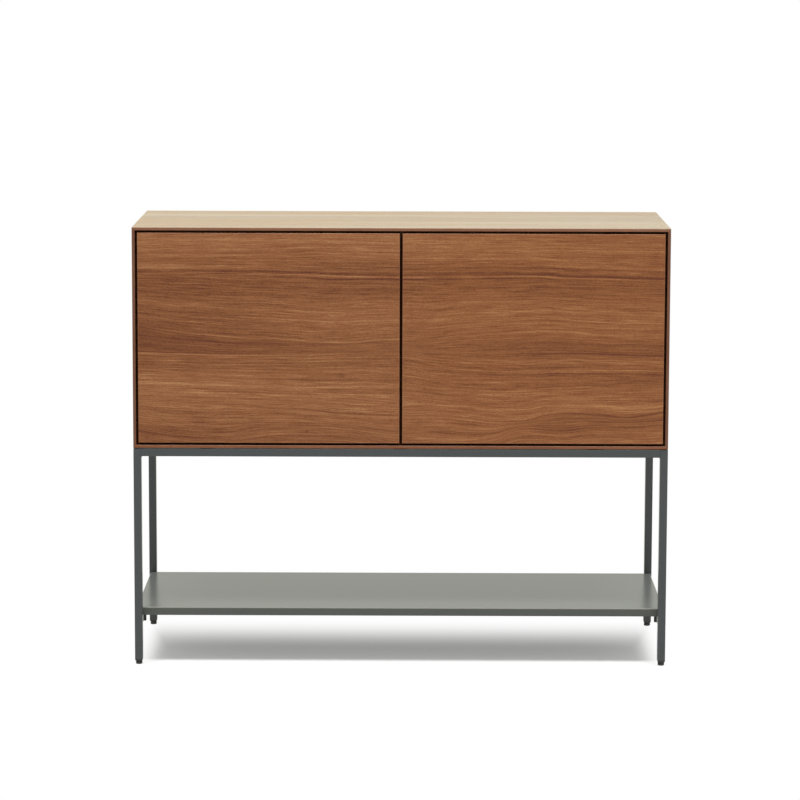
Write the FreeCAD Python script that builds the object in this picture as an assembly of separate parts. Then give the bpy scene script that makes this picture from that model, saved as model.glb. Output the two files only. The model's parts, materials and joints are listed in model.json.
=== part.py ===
import FreeCAD, Part
import os

# A walnut sideboard: a two-door cabinet standing on a frame of thin square tube with a low shelf.
# Millimetres, +Z up. The origin is on the floor at the middle of the footprint, the doors face -Y
# and +X is to the right of someone who faces them.

# Overall size
WIDTH = 1100.0
DEPTH = 400.0
HEIGHT = 910.0
CABINET_BOTTOM = 455.0

# Cabinet carcass: mitred panels, rebated in front for the doors and behind for the back panel
PANEL = 18.0
LIP = 6.0
FRONT_REBATE = 25.0
REAR_LIP = 8.0
REAR_REBATE = 8.0
BACK_PANEL = 6.0
BACK_PANEL_CLEARANCE = 0.5
EASED_EDGE = 0.6

# Doors, flush in the lips
DOOR = 19.0
DOOR_RECESS = 0.5
EDGE_GAP = 5.0
CENTRE_GAP = 6.0

# Inner shelves on pins
SHELF_BOARD_Z = 674.0
SHELF_SIDE_CLEARANCE = 1.0
SHELF_FRONT_SETBACK = 10.0
SHELF_REAR_CLEARANCE = 4.0
PEG_R = 2.5
PEG_HOLE_R = 2.55
PEG_DEPTH = 8.0
PEG_HOLE_DEPTH = 8.3
PEG_PITCH = 32.0
PEG_ROWS_Y = (-130.0, 150.0)
PEG_PAD = (7.0, 9.0, 3.0)

# Concealed cup hinges. The pin stands upright inside the door's own thickness.
HINGE_FROM_DOOR_END = 80.0
PIN_FROM_DOOR_EDGE = 10.0
PIN_BEHIND_DOOR_FRONT = 9.5
PIN_R = 1.5
PIN_BORE_R = 1.55
PIN_HALF = 11.4
PIN_SEAT = 0.1
CUP_FROM_DOOR_EDGE = 21.5
CUP_R = 17.4
CUP_WALL = 1.0
CUP_BORE_R = 17.5
CUP_BORE_DEPTH = 14.0
CUP_FLANGE_R = 19.0
CUP_FLANGE = 1.2
CUP_EAR_SPACING = 45.0
CUP_EAR_OFFSET = 9.5
CUP_EAR_R = 5.5
KNUCKLE_R = 3.0
ARM_WIDTH = 14.0
ARM_WEB = 3.0
ARM_STRAP = 2.4
GOOSENECK_INNER = 14.6
ARM_REACH = 75.0
ARM_FLANGE_Y = (18.0, 68.0)
ARM_FLANGE = 3.6
ARM_FLANGE_SHEET = 1.4
CLAMP_SCREW_Y = 62.0
ADJUSTING_SCREW_Y = 36.0
PLATE = 3.0
PLATE_Y = (27.0, 79.0)
PLATE_HALF = 6.5
PLATE_WING_Y = 52.0
PLATE_WING = 10.0
PLATE_WING_HALF = 21.0
PLATE_SCREW_SPACING = 32.0

# Wood screws for the hinges, latches and shelf
SCREW_R = 1.8
SCREW_HOLE_R = 1.85
SCREW_HEAD_R = 3.4
SCREW_HEAD = 1.8
SCREW_IN_PANEL = 12.0

# Push latches behind the doors' free edges, under the top panel
LATCH_X = 30.0
LATCH_BODY = (14.0, 70.0, 16.0)
LATCH_FRONT_Y = -172.0
LATCH_EAR = (32.0, 14.0, 3.0)
LATCH_EAR_Y = -128.0
LATCH_EAR_SPACING = 23.0
PLUNGER_R = 4.0
PLUNGER_BORE_R = 4.08
PLUNGER_HEAD_R = 5.0
PLUNGER_HEAD = 3.0
PLUNGER_LENGTH = 49.0
PLUNGER_BORE = 60.0
STRIKE_R = 8.0
STRIKE = 1.0
STRIKE_GAP = 0.3
BUMPER_R = 3.0
BUMPER = 2.2
BUMPER_EDGE = 0.9
BUMPER_X = 70.0

# Steel frame of square tube
TUBE = 16.0
TUBE_WALL = 1.5
TUBE_CORNER = 1.0
SPACER = 1.5
SPACER_R = 7.0
WELD_R = 3.5
WELD_WIDTH = 13.0
TAB = (32.0, 34.0, 3.0)
TAB_CORNER = 6.0
TAB_X = (-400.0, 0.0, 400.0)
TAB_HOLE_Y = 163.0
CABINET_SCREW_R = 3.0
CABINET_SCREW_HOLE_R = 3.1
CABINET_SCREW_HEAD_R = 5.0
CABINET_SCREW_HEAD = 3.0

# Low shelf: a folded steel tray on two side rails
TRAY_BOTTOM = 101.0
TRAY_HEIGHT = 17.0
TRAY_SHEET = 1.5
TRAY_RETURN = 14.0
TRAY_SIDE_INSET = 3.0
TRAY_LEG_GAP = 0.5
TRAY_BEND_R = 2.0
STIFFENER_WIDTH = 50.0
STIFFENER_FLANGE = 12.0
STIFFENER_HEIGHT = 13.0
STIFFENER_SHEET = 1.2
STIFFENER_END_GAP = 30.0
TRAY_SCREW_X = 539.5
TRAY_SCREW_Y = (-120.0, 120.0)
CLIP_Y = (-146.0, 146.0)
CLIP_LENGTH = 12.0
CLIP_WALL = 3.4
CLIP_GAP = 0.3
CLIP_FIT = 0.1
CLIP_REACH = 3.3
CLIP_HOOK = 2.9
CLIP_JAW = 2.0
CLIP_LEAD_IN = 1.0

# Feet: a glide on a threaded stud, screwed into the plug that closes each leg
GLIDE_R = 6.8
GLIDE = 5.5
GLIDE_EDGE = 1.0
NECK_R = 5.0
NECK_TOP = 6.9
STUD_R = 3.9
STUD_TOP = 30.0
STUD_BORE_R = 3.95
PLUG_BOTTOM = 7.0
LEG_BOTTOM = 11.0
PLUG_END = 13.8
PLUG_SPIGOT = 22.0
PLUG_CLEARANCE = 0.1

V = FreeCAD.Vector
X_AXIS = V(1, 0, 0)
Y_AXIS = V(0, 1, 0)
Z_AXIS = V(0, 0, 1)
ORIGIN = V(0, 0, 0)

# Places worked out from the sizes above
HALF_WIDTH = WIDTH / 2
FRONT = -DEPTH / 2
BACK = DEPTH / 2
CABINET_MIDDLE = (CABINET_BOTTOM + HEIGHT) / 2
CABINET_HALF_HEIGHT = (HEIGHT - CABINET_BOTTOM) / 2
SIDE_FACE = HALF_WIDTH - PANEL
FLOOR_FACE = CABINET_BOTTOM + PANEL
CEILING_FACE = HEIGHT - PANEL
SHOULDER = FRONT + FRONT_REBATE
BACK_PANEL_FRONT = BACK - REAR_REBATE
DOOR_FRONT = FRONT + DOOR_RECESS
DOOR_BACK = DOOR_FRONT + DOOR
DOOR_OUTER = HALF_WIDTH - LIP - EDGE_GAP
DOOR_INNER = CENTRE_GAP / 2
DOOR_BOTTOM = CABINET_BOTTOM + LIP + EDGE_GAP
DOOR_TOP = HEIGHT - LIP - EDGE_GAP
HINGE_Z = {"upper": DOOR_TOP - HINGE_FROM_DOOR_END, "lower": DOOR_BOTTOM + HINGE_FROM_DOOR_END}
PIN_X = DOOR_OUTER - PIN_FROM_DOOR_EDGE
PIN_Y = DOOR_FRONT + PIN_BEHIND_DOOR_FRONT
LATCH_Z = CEILING_FACE - LATCH_BODY[2] / 2
PLUNGER_TIP = DOOR_BACK + STRIKE + STRIKE_GAP
FRAME_TOP = CABINET_BOTTOM - SPACER
RAIL_Z = FRAME_TOP - TUBE / 2
LEG_X = HALF_WIDTH - TUBE / 2
LEG_Y = DEPTH / 2 - TUBE / 2
TRAY_TOP = TRAY_BOTTOM + TRAY_HEIGHT

LEFT_OR_RIGHT = {"left": -1, "right": 1}
FRONT_OR_REAR = {"front": -1, "rear": 1}
SQUARE = ((-1, -1), (1, -1), (1, 1), (-1, 1), (-1, -1))


def box(x, y, z):
    """A block between the two values of each pair."""
    return Part.makeBox(x[1] - x[0], y[1] - y[0], z[1] - z[0], V(x[0], y[0], z[0]))


def middle_box(size, centre):
    """A block of a size about its middle."""
    corner = V(*centre) - V(*size) / 2
    return Part.makeBox(*size, corner)


def rod(radius, start, end):
    """A round bar between two points."""
    axis = V(*end) - V(*start)
    return Part.makeCylinder(radius, axis.Length, V(*start), axis)


def prism(points, travel):
    """A flat outline pushed along a vector."""
    return Part.Face(Part.makePolygon(points + points[:1])).extrude(travel)


def joined(first, *others):
    """One solid from parts that share volume, without seams between flush faces."""
    return first.multiFuse(list(others)).removeSplitter()


def mirrored(shape):
    """The same shape on the other side of the sideboard's middle."""
    return shape.mirror(ORIGIN, X_AXIS)


def on_side(shape, side):
    """A shape modelled on the left, put on the side asked for."""
    return shape if side == "left" else mirrored(shape)


def moved(shape, place):
    """A copy of a shape, shifted."""
    copy = shape.copy()
    copy.translate(V(*place))
    return copy


def edges_at(shape, test):
    """The edges whose bounding box passes a test."""
    return [edge for edge in shape.Edges if test(edge.BoundBox)]


def save(node, *solids):
    """Write one node, which is a single solid or a group of alike ones."""
    shape = solids[0] if len(solids) == 1 else Part.makeCompound(list(solids))
    shape.exportStep(f"parts/{node}.step")


def carcass_panel(length, reach):
    """A rebated panel whose outer face is `reach` above the cabinet's middle, mitred at both ends."""
    inner = reach - PANEL
    lip = reach - LIP
    outline = [
        (FRONT, lip + EASED_EDGE),
        (FRONT, reach - EASED_EDGE),
        (FRONT + EASED_EDGE, reach),
        (BACK - EASED_EDGE, reach),
        (BACK, reach - EASED_EDGE),
        (BACK, reach - REAR_LIP),
        (BACK_PANEL_FRONT, reach - REAR_LIP),
        (BACK_PANEL_FRONT, inner),
        (SHOULDER, inner),
        (SHOULDER, lip),
        (FRONT + EASED_EDGE, lip),
    ]
    panel = prism([V(-length / 2, y, z) for y, z in outline], X_AXIS * length)
    for side in (-1, 1):
        end = side * length / 2
        drop = 2 * PANEL
        low = reach - drop
        corners = [V(end, FRONT, reach), V(end, FRONT, low), V(end - side * drop, FRONT, low)]
        panel = panel.cut(prism(corners, Y_AXIS * DEPTH))
    return panel


def placed_panel(length, reach, turn):
    """A carcass panel turned about the cabinet's middle: 0 is the top, 90 the right side."""
    panel = carcass_panel(length, reach)
    panel.rotate(ORIGIN, Y_AXIS, turn)
    panel.translate(V(0, 0, CABINET_MIDDLE))
    return panel


def peg_holes(face_x, into):
    """Holes for shelf pegs in an upright face; `into` points into the wood."""
    holes = []
    for y in PEG_ROWS_Y:
        for step in (-1, 0, 1):
            z = SHELF_BOARD_Z - PEG_R + step * PEG_PITCH
            holes.append(rod(PEG_HOLE_R, (face_x, y, z), (face_x + into * PEG_HOLE_DEPTH, y, z)))
    return holes


def plate_screw_places(side):
    """Where the screws of a door's two hinge plates enter the side panel."""
    sign = LEFT_OR_RIGHT[side]
    places = []
    for z in HINGE_Z.values():
        for half in (-1, 1):
            places.append((sign * SIDE_FACE, PIN_Y + PLATE_WING_Y, z + half * PLATE_SCREW_SPACING / 2))
    return places


def side_panel(side):
    """A side panel with its peg holes and the pilot holes of the hinge plates."""
    sign = LEFT_OR_RIGHT[side]
    panel = placed_panel(HEIGHT - CABINET_BOTTOM, HALF_WIDTH, sign * 90)
    holes = peg_holes(sign * SIDE_FACE, sign)
    for x, y, z in plate_screw_places(side):
        holes.append(rod(SCREW_HOLE_R, (x, y, z), (x + sign * SCREW_IN_PANEL, y, z)))
    return panel.cut(holes)


def latch_screw_places(side):
    """Where a latch's two screws enter the top panel."""
    sign = LEFT_OR_RIGHT[side]
    return [(sign * LATCH_X + half * LATCH_EAR_SPACING / 2, LATCH_EAR_Y) for half in (-1, 1)]


def top_panel():
    """The top with the pilot holes of the latches."""
    panel = placed_panel(WIDTH, CABINET_HALF_HEIGHT, 0)
    end = CEILING_FACE + SCREW_IN_PANEL
    places = latch_screw_places("left") + latch_screw_places("right")
    return panel.cut([rod(SCREW_HOLE_R, (x, y, CEILING_FACE), (x, y, end)) for x, y in places])


def cabinet_screw_places():
    """Where the frame's tabs are screwed to the cabinet."""
    return [(x, sign * TAB_HOLE_Y) for x in TAB_X for sign in (-1, 1)]


def bottom_panel():
    """The bottom with the holes of the frame's screws."""
    panel = placed_panel(WIDTH, CABINET_HALF_HEIGHT, 180)
    end = CABINET_BOTTOM + SCREW_IN_PANEL
    places = cabinet_screw_places()
    return panel.cut([rod(CABINET_SCREW_HOLE_R, (x, y, CABINET_BOTTOM), (x, y, end)) for x, y in places])


def back_panel():
    """A thin board in the rear rebate."""
    inset = REAR_LIP + BACK_PANEL_CLEARANCE
    x = HALF_WIDTH - inset
    y = (BACK_PANEL_FRONT, BACK_PANEL_FRONT + BACK_PANEL)
    return box((-x, x), y, (CABINET_BOTTOM + inset, HEIGHT - inset))


def centre_divider():
    """The upright board between the two cupboards, with peg holes on both faces."""
    board = box((-PANEL / 2, PANEL / 2), (SHOULDER, BACK_PANEL_FRONT), (FLOOR_FACE, CEILING_FACE))
    pitted = [hole for sign in (-1, 1) for hole in peg_holes(sign * PANEL / 2, -sign)]
    return board.cut(pitted)


def inner_shelf():
    """The left cupboard's shelf board."""
    x = (-SIDE_FACE + SHELF_SIDE_CLEARANCE, -PANEL / 2 - SHELF_SIDE_CLEARANCE)
    y = (SHOULDER + SHELF_FRONT_SETBACK, BACK_PANEL_FRONT - SHELF_REAR_CLEARANCE)
    board = box(x, y, (SHELF_BOARD_Z, SHELF_BOARD_Z + PANEL))
    front = edges_at(board, lambda b: b.YMax < y[0] + 0.1 and b.XLength > PANEL)
    return board.makeChamfer(EASED_EDGE, front)


def shelf_peg(face_x, into, y):
    """A peg in an upright face with a flat pad that the shelf lies on."""
    z = SHELF_BOARD_Z - PEG_R
    peg = rod(PEG_R, (face_x + into * PEG_DEPTH, y, z), (face_x - into * PEG_PAD[0], y, z))
    pad = middle_box(PEG_PAD, (face_x - into * PEG_PAD[0] / 2, y, SHELF_BOARD_Z - PEG_PAD[2] / 2))
    return joined(pad, peg)


def shelf_pegs():
    """The four pegs of the left cupboard."""
    faces = ((-SIDE_FACE, -1), (-PANEL / 2, 1))
    return [shelf_peg(face, into, y) for face, into in faces for y in PEG_ROWS_Y]


def cup_centre_x():
    """The left door's cup centre."""
    return -DOOR_OUTER + CUP_FROM_DOOR_EDGE


def cup_screw_places(z):
    """Where a cup's two screws enter the left door's back."""
    x = cup_centre_x() + CUP_EAR_OFFSET
    return [(x, z + half * CUP_EAR_SPACING / 2) for half in (-1, 1)]


def left_door():
    """A flush door with two cup bores and their screw holes in its back."""
    door = box((-DOOR_OUTER, -DOOR_INNER), (DOOR_FRONT, DOOR_BACK), (DOOR_BOTTOM, DOOR_TOP))
    front = edges_at(door, lambda b: b.YMax < DOOR_FRONT + 0.1)
    door = door.makeChamfer(EASED_EDGE, front)
    holes = []
    for z in HINGE_Z.values():
        x = cup_centre_x()
        holes.append(rod(CUP_BORE_R, (x, DOOR_BACK - CUP_BORE_DEPTH, z), (x, DOOR_BACK, z)))
        for sx, sz in cup_screw_places(z):
            holes.append(rod(SCREW_HOLE_R, (sx, DOOR_BACK - SCREW_IN_PANEL, sz), (sx, DOOR_BACK, sz)))
    return door.cut(holes)


def hinge_cup():
    """The left door's cup at height zero: a pressed pot with a flange and two screw ears."""
    x = cup_centre_x()
    bottom = DOOR_BACK - CUP_BORE_DEPTH + 0.1
    top = DOOR_BACK + CUP_FLANGE
    pot = rod(CUP_R, (x, bottom, 0), (x, top, 0))
    flange = rod(CUP_FLANGE_R, (x, DOOR_BACK, 0), (x, top, 0))
    ears = [rod(CUP_EAR_R, (sx, DOOR_BACK, z), (sx, top, z)) for sx, z in cup_screw_places(0)]
    bar_size = (2 * CUP_EAR_R, CUP_FLANGE, CUP_EAR_SPACING)
    bar = middle_box(bar_size, (x + CUP_EAR_OFFSET, DOOR_BACK + CUP_FLANGE / 2, 0))
    cup = joined(pot, flange, bar, *ears)
    hollow = rod(CUP_R - CUP_WALL, (x, bottom + CUP_WALL, 0), (x, top, 0))
    pin = rod(PIN_BORE_R, (-PIN_X, PIN_Y, -PIN_HALF - PIN_SEAT), (-PIN_X, PIN_Y, PIN_HALF + PIN_SEAT))
    screws = [rod(SCREW_HOLE_R, (sx, DOOR_BACK, z), (sx, top, z)) for sx, z in cup_screw_places(0)]
    return cup.cut([hollow, pin] + screws)


def hinge_pin():
    """The left door's pin at height zero, held in the cup's walls."""
    return rod(PIN_R, (-PIN_X, PIN_Y, -PIN_HALF), (-PIN_X, PIN_Y, PIN_HALF))


def arm_flanges():
    """The two turned-up sides that stiffen the arm's straight part."""
    near, far = ARM_FLANGE_Y
    rise = ARM_STRAP + ARM_FLANGE
    outline = [V(0, near, 0), V(rise, near + ARM_FLANGE, 0), V(rise, far - ARM_FLANGE, 0), V(0, far, 0)]
    flange = prism(outline, Z_AXIS * ARM_FLANGE_SHEET)
    half = ARM_WIDTH / 2
    return [moved(flange, (0, 0, -half)), moved(flange, (0, 0, half - ARM_FLANGE_SHEET))]


def hinge_arm():
    """The left gooseneck arm with its pin at the origin: it passes from the cup round the door's edge."""
    half = ARM_WIDTH / 2
    outer = GOOSENECK_INNER + ARM_STRAP
    low = V(0, 0, -half)
    knuckle = Part.makeCylinder(KNUCKLE_R, ARM_WIDTH, low, Z_AXIS)
    web = box((0, outer - 0.3), (-ARM_WEB / 2, ARM_WEB / 2), (-half, half))
    hook = Part.makeCylinder(outer, ARM_WIDTH, low, Z_AXIS, 90)
    hook = hook.cut(Part.makeCylinder(GOOSENECK_INNER, ARM_WIDTH, low, Z_AXIS))
    strap = box((0, ARM_STRAP), (GOOSENECK_INNER, ARM_REACH), (-half, half))
    tip = edges_at(strap, lambda b: b.YMin > ARM_REACH - 0.1 and b.ZLength < 0.1)
    strap = strap.makeFillet(half - 1.0, tip)
    arm = joined(knuckle, web, hook, strap, *arm_flanges())
    bore = Part.makeCylinder(PIN_BORE_R, ARM_WIDTH, low, Z_AXIS)
    screws = [rod(SCREW_HOLE_R, (0, y, 0), (ARM_STRAP, y, 0)) for y in (CLAMP_SCREW_Y, ADJUSTING_SCREW_Y)]
    return arm.cut([bore] + screws)


def hinge_plate():
    """The left mounting plate, with the pin at the origin: a bar with two screw wings."""
    bar = box((-PLATE, 0), PLATE_Y, (-PLATE_HALF, PLATE_HALF))
    y = (PLATE_WING_Y - PLATE_WING / 2, PLATE_WING_Y + PLATE_WING / 2)
    wings = box((-PLATE, 0), y, (-PLATE_WING_HALF, PLATE_WING_HALF))
    corners = edges_at(wings, lambda b: b.XLength > 0.1 and b.YLength < 0.1 and b.ZLength < 0.1)
    wings = wings.makeFillet(PLATE_WING / 2 - 0.5, corners)
    plate = joined(bar, wings)
    holes = [rod(SCREW_HOLE_R, (-PLATE, PLATE_WING_Y, half * PLATE_SCREW_SPACING / 2),
                 (0, PLATE_WING_Y, half * PLATE_SCREW_SPACING / 2)) for half in (-1, 1)]
    holes.append(rod(SCREW_HOLE_R, (-PLATE, CLAMP_SCREW_Y, 0), (0, CLAMP_SCREW_Y, 0)))
    return plate.cut(holes)


def wood_screw(place, inward, length):
    """A pan-head screw whose head lies on a face at `place`; `inward` is the way it is driven."""
    start = V(*place)
    top = start - inward * SCREW_HEAD
    shank = Part.makeCylinder(SCREW_R, length, start, inward)
    head = Part.makeCylinder(SCREW_HEAD_R, SCREW_HEAD, start, inward * -1)
    rim = edges_at(head, lambda b: b.DiagonalLength > SCREW_HEAD_R and b.Center.isEqual(top, 0.1))
    return joined(head.makeChamfer(SCREW_HEAD / 2, rim), shank)


def hinge_place(level):
    """The left pin's middle."""
    return (-PIN_X, PIN_Y, HINGE_Z[level])


def plate_screws():
    """The eight screws that hold the hinge plates to the side panels."""
    length = PLATE + SCREW_IN_PANEL - 1
    left = [wood_screw((x + PLATE, y, z), X_AXIS * -1, length) for x, y, z in plate_screw_places("left")]
    return left + [mirrored(screw) for screw in left]


def arm_screws():
    """Two screws in each arm: one clamps it to its plate, one bears on the plate to adjust the door."""
    left = []
    for level in HINGE_Z:
        x, y, z = hinge_place(level)
        for along, length in ((CLAMP_SCREW_Y, ARM_STRAP + PLATE - 0.2), (ADJUSTING_SCREW_Y, ARM_STRAP)):
            left.append(wood_screw((x + ARM_STRAP, y + along, z), X_AXIS * -1, length))
    return left + [mirrored(screw) for screw in left]


def cup_screws():
    """The left door's four cup screws."""
    screws = []
    for z in HINGE_Z.values():
        for x, screw_z in cup_screw_places(z):
            screws.append(wood_screw((x, DOOR_BACK + CUP_FLANGE, screw_z), Y_AXIS * -1, SCREW_IN_PANEL))
    return screws


def latch_housing():
    """The left latch's body under the top panel, bored for its plunger."""
    y = (LATCH_FRONT_Y, LATCH_FRONT_Y + LATCH_BODY[1])
    x = (-LATCH_X - LATCH_BODY[0] / 2, -LATCH_X + LATCH_BODY[0] / 2)
    body = box(x, y, (CEILING_FACE - LATCH_BODY[2], CEILING_FACE))
    lower = edges_at(body, lambda b: b.YLength > 1 and b.ZMax < CEILING_FACE - 1)
    body = body.makeFillet(4.0, lower)
    ears = middle_box(LATCH_EAR, (-LATCH_X, LATCH_EAR_Y, CEILING_FACE - LATCH_EAR[2] / 2))
    corners = edges_at(ears, lambda b: b.ZLength > 0.1 and b.XLength < 0.1 and b.YLength < 0.1)
    housing = joined(body, ears.makeFillet(4.0, corners))
    bore_end = LATCH_FRONT_Y + PLUNGER_BORE
    bore = rod(PLUNGER_BORE_R, (-LATCH_X, LATCH_FRONT_Y, LATCH_Z), (-LATCH_X, bore_end, LATCH_Z))
    holes = [rod(SCREW_HOLE_R, (px, py, CEILING_FACE - LATCH_EAR[2]), (px, py, CEILING_FACE))
             for px, py in latch_screw_places("left")]
    return housing.cut([bore] + holes)


def latch_screws():
    """The four screws that hold the two latches."""
    seat = CEILING_FACE - LATCH_EAR[2]
    length = LATCH_EAR[2] + SCREW_IN_PANEL - 1
    places = latch_screw_places("left") + latch_screw_places("right")
    return [wood_screw((x, y, seat), Z_AXIS, length) for x, y in places]


def latch_plunger():
    """The left plunger: a round bar with a wider magnetic head that meets the strike plate."""
    tip = (-LATCH_X, PLUNGER_TIP, LATCH_Z)
    neck = (-LATCH_X, PLUNGER_TIP + PLUNGER_HEAD, LATCH_Z)
    end = (-LATCH_X, PLUNGER_TIP + PLUNGER_LENGTH, LATCH_Z)
    head = rod(PLUNGER_HEAD_R, tip, neck)
    head = head.makeChamfer(EASED_EDGE, edges_at(head, lambda b: b.YMax < PLUNGER_TIP + 0.1))
    return joined(head, rod(PLUNGER_R, tip, end).cut(head))


def strike_plate():
    """The left door's steel disc for the latch magnet."""
    disc = rod(STRIKE_R, (-LATCH_X, DOOR_BACK, LATCH_Z), (-LATCH_X, DOOR_BACK + STRIKE, LATCH_Z))
    return disc.makeChamfer(0.4, edges_at(disc, lambda b: b.YMin > DOOR_BACK + STRIKE - 0.1))


def door_bumpers():
    """Four soft buttons on the shoulder that the doors close towards."""
    top = (DOOR_TOP + CEILING_FACE) / 2
    bottom = (DOOR_BOTTOM + FLOOR_FACE) / 2
    bumpers = []
    for x in (-BUMPER_X, BUMPER_X):
        for z in (top, bottom):
            button = rod(BUMPER_R, (x, SHOULDER, z), (x, SHOULDER - BUMPER, z))
            rim = edges_at(button, lambda b: b.YMax < SHOULDER - BUMPER + 0.1)
            bumpers.append(button.makeChamfer(BUMPER_EDGE, rim))
    return bumpers


def square_tube(length, open_ended):
    """A tube along +Z from the origin, closed by a wall at the top unless it is open-ended."""
    tube = middle_box((TUBE, TUBE, length), (0, 0, length / 2))
    corners = edges_at(tube, lambda b: b.ZLength > TUBE)
    tube = tube.makeFillet(TUBE_CORNER, corners)
    hollow = TUBE - 2 * TUBE_WALL
    inside = length if open_ended else length - TUBE_WALL
    return tube.cut(middle_box((hollow, hollow, inside), (0, 0, inside / 2)))


def leg(x_sign, y_sign):
    """A leg from its plug up to the top of the frame."""
    return moved(square_tube(FRAME_TOP - LEG_BOTTOM, False), (x_sign * LEG_X, y_sign * LEG_Y, LEG_BOTTOM))


def weld():
    """The hollow-faced corner under a rail's end, where it meets a leg at x = 0."""
    corner = box((0, WELD_R), (-WELD_WIDTH / 2, WELD_WIDTH / 2), (-TUBE / 2 - WELD_R, -TUBE / 2))
    round_off = rod(WELD_R, (WELD_R, -TUBE, -TUBE / 2 - WELD_R), (WELD_R, TUBE, -TUBE / 2 - WELD_R))
    return corner.cut(round_off)


def rail(length):
    """A rail along X about the origin, welded under both ends."""
    tube = square_tube(length, True)
    tube.rotate(ORIGIN, Y_AXIS, 90)
    tube.translate(V(-length / 2, 0, 0))
    left = moved(weld(), (-length / 2, 0, 0))
    return joined(tube, left, mirrored(left))


def long_rail(y):
    """The front or rear top rail."""
    return moved(rail(2 * HALF_WIDTH - 2 * TUBE), (0, y, RAIL_Z))


def frame_tabs():
    """Flat tabs welded inside the long rails, holed for the cabinet's screws."""
    tabs = []
    middle_y = LEG_Y - TUBE / 2 - TAB[1] / 2
    for x, y in cabinet_screw_places():
        side = 1 if y > 0 else -1
        tab = middle_box(TAB, (x, side * middle_y, FRAME_TOP - TAB[2] / 2))
        corners = edges_at(tab, lambda b: b.ZLength > 1 and abs(b.Center.y) < middle_y)
        tab = tab.makeFillet(TAB_CORNER, corners)
        tabs.append(tab.cut(rod(CABINET_SCREW_HOLE_R, (x, y, FRAME_TOP - TAB[2]), (x, y, FRAME_TOP))))
    return tabs


def side_rail(x, z):
    """A rail from a front leg to a rear leg."""
    shape = rail(DEPTH - 2 * TUBE)
    shape.rotate(ORIGIN, Z_AXIS, 90)
    return moved(shape, (x, 0, z))


def frame_spacers():
    """Washers that lift the cabinet just clear of the frame."""
    washers = []
    for x, y in cabinet_screw_places():
        washer = rod(SPACER_R, (x, y, FRAME_TOP), (x, y, CABINET_BOTTOM))
        washers.append(washer.cut(rod(CABINET_SCREW_HOLE_R, (x, y, FRAME_TOP), (x, y, CABINET_BOTTOM))))
    return washers


def cabinet_screws():
    """The screws from under the tabs up into the cabinet's bottom."""
    screws = []
    seat = FRAME_TOP - TAB[2]
    for x, y in cabinet_screw_places():
        shank = rod(CABINET_SCREW_R, (x, y, seat), (x, y, CABINET_BOTTOM + SCREW_IN_PANEL - 0.5))
        head = rod(CABINET_SCREW_HEAD_R, (x, y, seat - CABINET_SCREW_HEAD), (x, y, seat))
        screws.append(joined(shank, head))
    return screws


def tray_screw_places():
    """Where the tray is screwed down to its side rails."""
    return [(sign * TRAY_SCREW_X, y) for sign in (-1, 1) for y in TRAY_SCREW_Y]


def lower_shelf():
    """The folded tray: a flat sheet with four turned-down sides and a return all round their foot."""
    x = HALF_WIDTH - TRAY_SIDE_INSET
    y = DEPTH / 2 - TUBE - TRAY_LEG_GAP
    tray = box((-x, x), (-y, y), (TRAY_BOTTOM, TRAY_TOP))
    bends = edges_at(tray, lambda b: b.ZMin > TRAY_TOP - 0.1 or b.ZLength > 1)
    tray = tray.makeFillet(TRAY_BEND_R, bends)
    ix = x - TRAY_SHEET
    iy = y - TRAY_SHEET
    cavity = box((-ix, ix), (-iy, iy), (TRAY_BOTTOM + TRAY_SHEET, TRAY_TOP - TRAY_SHEET))
    mx = x - TRAY_RETURN
    my = y - TRAY_RETURN
    mouth = box((-mx, mx), (-my, my), (TRAY_BOTTOM, TRAY_BOTTOM + TRAY_SHEET))
    holes = [rod(SCREW_HOLE_R, (px, py, TRAY_BOTTOM), (px, py, TRAY_BOTTOM + TRAY_SHEET))
             for px, py in tray_screw_places()]
    return tray.cut([cavity, mouth] + holes)


def shelf_stiffener():
    """A folded hat section spot-welded under the tray, along its middle."""
    top = TRAY_TOP - TRAY_SHEET
    bottom = top - STIFFENER_HEIGHT
    crown = STIFFENER_WIDTH / 2
    foot = crown + STIFFENER_FLANGE
    t = STIFFENER_SHEET
    outline = [
        (-foot, top), (-foot, top - t), (-crown, top - t), (-crown, bottom), (crown, bottom),
        (crown, top - t), (foot, top - t), (foot, top), (crown - t, top), (crown - t, bottom + t),
        (-crown + t, bottom + t), (-crown + t, top),
    ]
    half = HALF_WIDTH - TUBE - STIFFENER_END_GAP
    return prism([V(-half, y, z) for y, z in outline], X_AXIS * (2 * half))


def shelf_rail(sign):
    """A side rail under the tray, holed for the tray's screws."""
    shape = side_rail(sign * LEG_X, TRAY_BOTTOM - TUBE / 2)
    x = sign * TRAY_SCREW_X
    holes = [rod(SCREW_HOLE_R, (x, y, TRAY_BOTTOM - TUBE_WALL), (x, y, TRAY_BOTTOM)) for y in TRAY_SCREW_Y]
    return shape.cut(holes)


def tray_screws():
    """The screws inside the tray's return, down into the shelf rails."""
    seat = TRAY_BOTTOM + TRAY_SHEET
    length = TRAY_SHEET + TUBE_WALL + 3
    return [wood_screw((x, y, seat), Z_AXIS * -1, length) for x, y in tray_screw_places()]


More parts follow.
